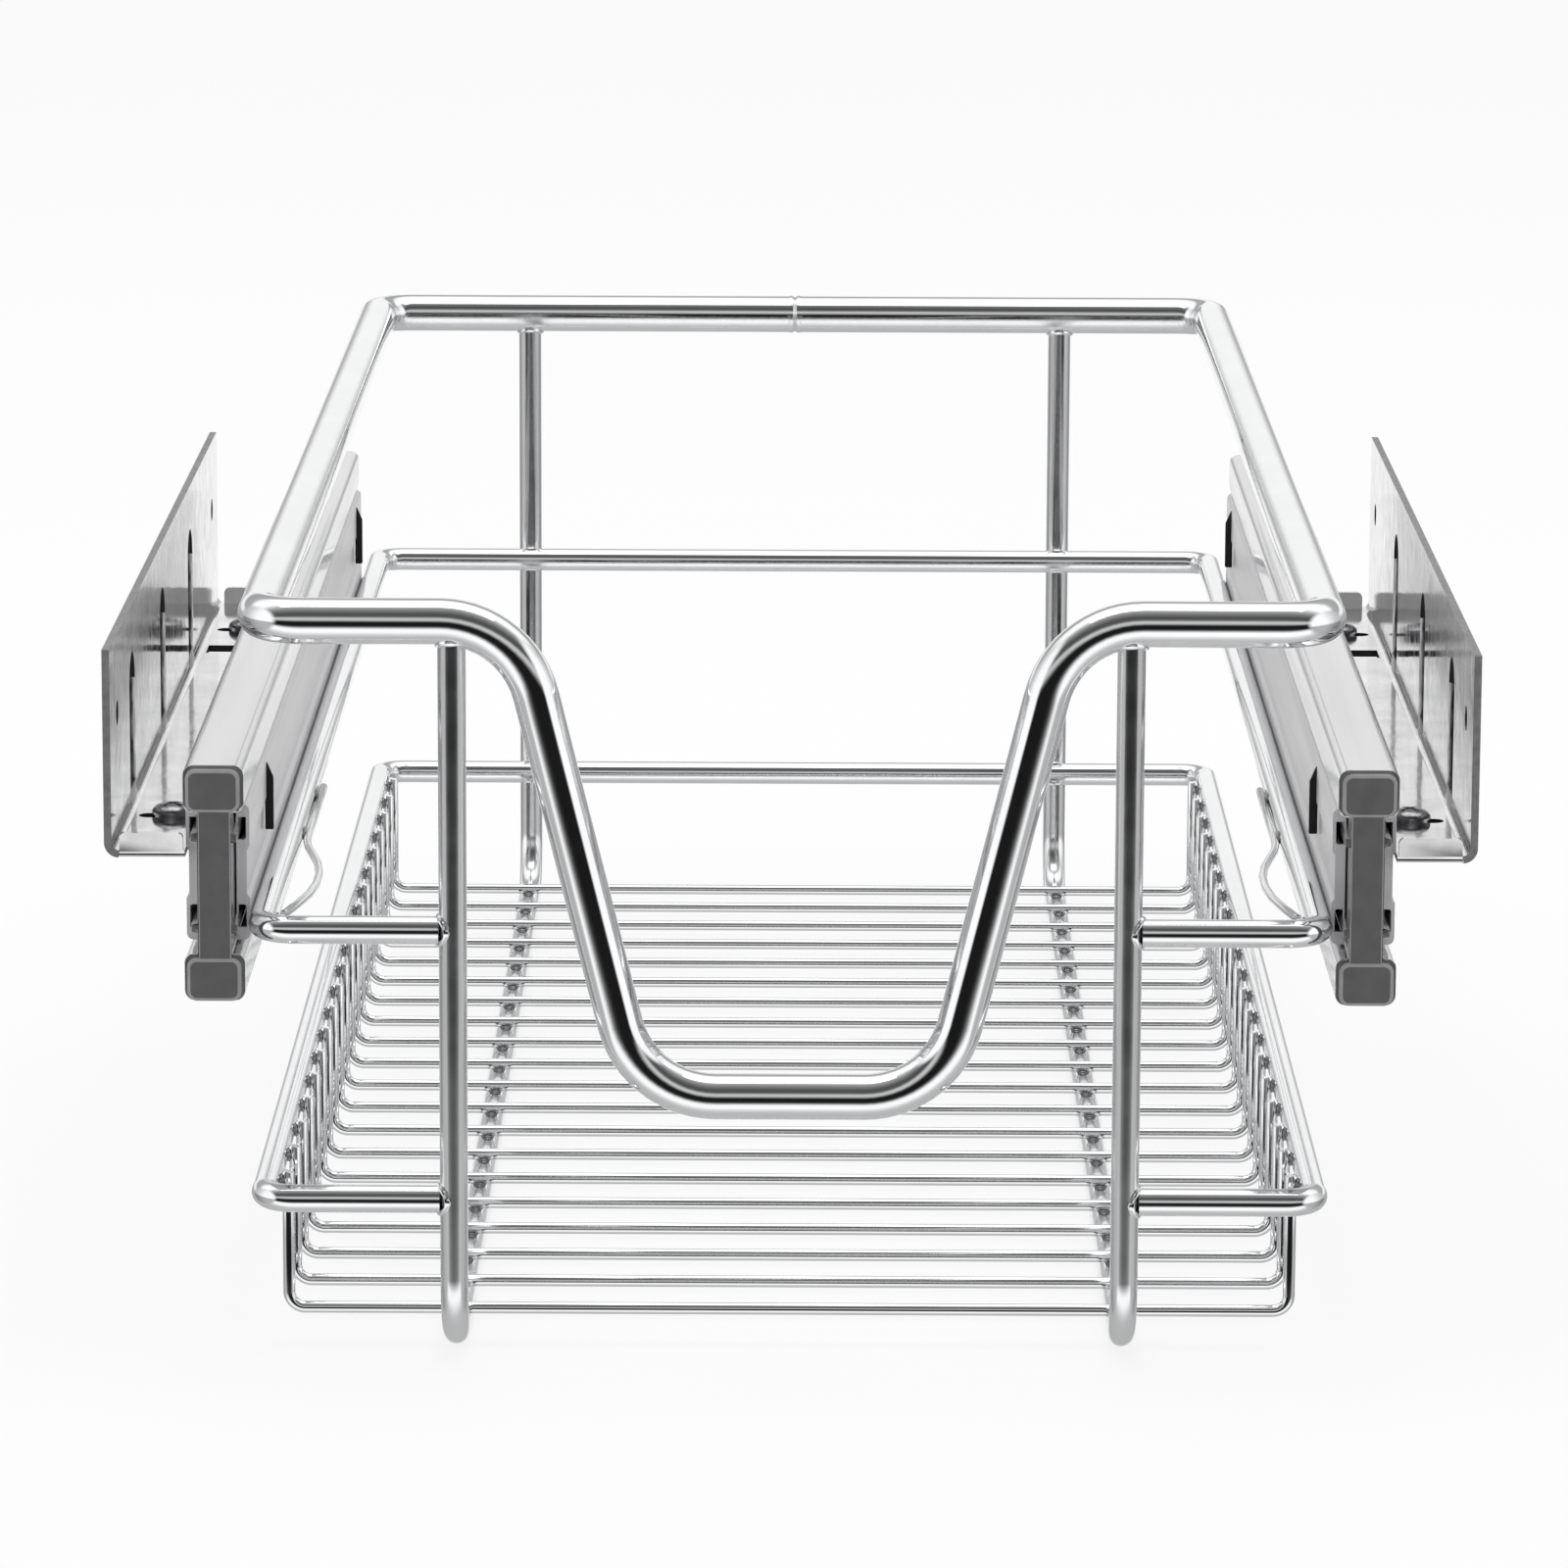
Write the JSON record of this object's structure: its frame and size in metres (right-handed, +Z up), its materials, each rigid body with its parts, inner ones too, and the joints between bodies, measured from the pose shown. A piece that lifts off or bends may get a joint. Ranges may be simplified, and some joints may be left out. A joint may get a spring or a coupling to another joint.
{
  "type": "pull-out cabinet basket",
  "caption": "Bright plated wire basket with a dipped loop handle that pulls out of a kitchen cabinet on telescopic ball runners held by screw-on side brackets.",
  "frame": {"origin": "on the floor plane under the middle of the pushed-in basket, at the bottom centre of the bounding box", "axes": "+X to the right, -Y towards the cabinet's front, the way the basket pulls out, and +Z up"},
  "size_m": [0.268, 0.441, 0.152],
  "materials": {
    "handle_wire": "bright chrome plate on steel wire",
    "chrome_wire": "bright chrome plate on steel wire",
    "spring_wire": "bright plated spring steel",
    "plated_rail": "rolled steel strip, zinc plated, satin",
    "plated_beam": "roll-formed steel, zinc plated, satin",
    "bracket_sheet": "pressed sheet steel, bright plated",
    "cage_sheet": "thin sheet steel",
    "ball_steel": "polished steel",
    "cap_plastic": "moulded plastic, mid grey, matt",
    "dark_screw": "blackened steel"
  },
  "bodies": {
    "cabinet_side": {"cabinet_rail_left": "plated_rail", "cabinet_rail_right": "plated_rail", "bracket_left": "bracket_sheet", "bracket_right": "bracket_sheet", "rail_screws_left": "dark_screw", "rail_screws_right": "dark_screw"},
    "basket": {"handle_loop": "handle_wire", "mid_loop": "chrome_wire", "rim_loop": "chrome_wire", "grid_wire_01": "chrome_wire", "grid_wire_02": "chrome_wire", "grid_wire_03": "chrome_wire", "grid_wire_04": "chrome_wire", "grid_wire_05": "chrome_wire", "grid_wire_06": "chrome_wire", "grid_wire_07": "chrome_wire", "grid_wire_08": "chrome_wire", "grid_wire_09": "chrome_wire", "grid_wire_10": "chrome_wire", "grid_wire_11": "chrome_wire", "grid_wire_12": "chrome_wire", "grid_wire_13": "chrome_wire", "grid_wire_14": "chrome_wire", "grid_wire_15": "chrome_wire", "grid_wire_16": "chrome_wire", "grid_wire_17": "chrome_wire", "grid_wire_18": "chrome_wire", "grid_wire_19": "chrome_wire", "grid_wire_20": "chrome_wire", "support_wire_left": "chrome_wire", "support_wire_right": "chrome_wire", "wire_clip_left": "spring_wire", "wire_clip_right": "spring_wire", "basket_rail_left": "plated_rail", "basket_rail_right": "plated_rail"},
    "beam_left": {"beam_left": "plated_beam", "beam_cap_left": "cap_plastic"},
    "outer_cage_left": {"outer_cage_left": "cage_sheet", "outer_balls_left": "ball_steel"},
    "inner_cage_left": {"inner_cage_left": "cage_sheet", "inner_balls_left": "ball_steel"},
    "beam_right": {"beam_right": "plated_beam", "beam_cap_right": "cap_plastic"},
    "outer_cage_right": {"outer_cage_right": "cage_sheet", "outer_balls_right": "ball_steel"},
    "inner_cage_right": {"inner_cage_right": "cage_sheet", "inner_balls_right": "ball_steel"}
  },
  "joints": [
    {"name": "basket_slide", "type": "slide", "parent": "cabinet_side", "child": "basket", "axis": [0, -1, 0], "range_m": [0, 0.36]},
    {"name": "beam_slide_left", "type": "slide", "parent": "cabinet_side", "child": "beam_left", "axis": [0, -1, 0], "range_m": [0, 0.18]},
    {"name": "outer_cage_slide_left", "type": "slide", "parent": "cabinet_side", "child": "outer_cage_left", "axis": [0, -1, 0], "range_m": [0, 0.09]},
    {"name": "inner_cage_slide_left", "type": "slide", "parent": "cabinet_side", "child": "inner_cage_left", "axis": [0, -1, 0], "range_m": [0, 0.27]},
    {"name": "beam_slide_right", "type": "slide", "parent": "cabinet_side", "child": "beam_right", "axis": [0, -1, 0], "range_m": [0, 0.18]},
    {"name": "outer_cage_slide_right", "type": "slide", "parent": "cabinet_side", "child": "outer_cage_right", "axis": [0, -1, 0], "range_m": [0, 0.09]},
    {"name": "inner_cage_slide_right", "type": "slide", "parent": "cabinet_side", "child": "inner_cage_right", "axis": [0, -1, 0], "range_m": [0, 0.27]}
  ],
  "couplings": [
    {"joint": "beam_slide_left", "follows": "basket_slide", "ratio": 0.5},
    {"joint": "outer_cage_slide_left", "follows": "basket_slide", "ratio": 0.25},
    {"joint": "inner_cage_slide_left", "follows": "basket_slide", "ratio": 0.75},
    {"joint": "beam_slide_right", "follows": "basket_slide", "ratio": 0.5},
    {"joint": "outer_cage_slide_right", "follows": "basket_slide", "ratio": 0.25},
    {"joint": "inner_cage_slide_right", "follows": "basket_slide", "ratio": 0.75}
  ]
}
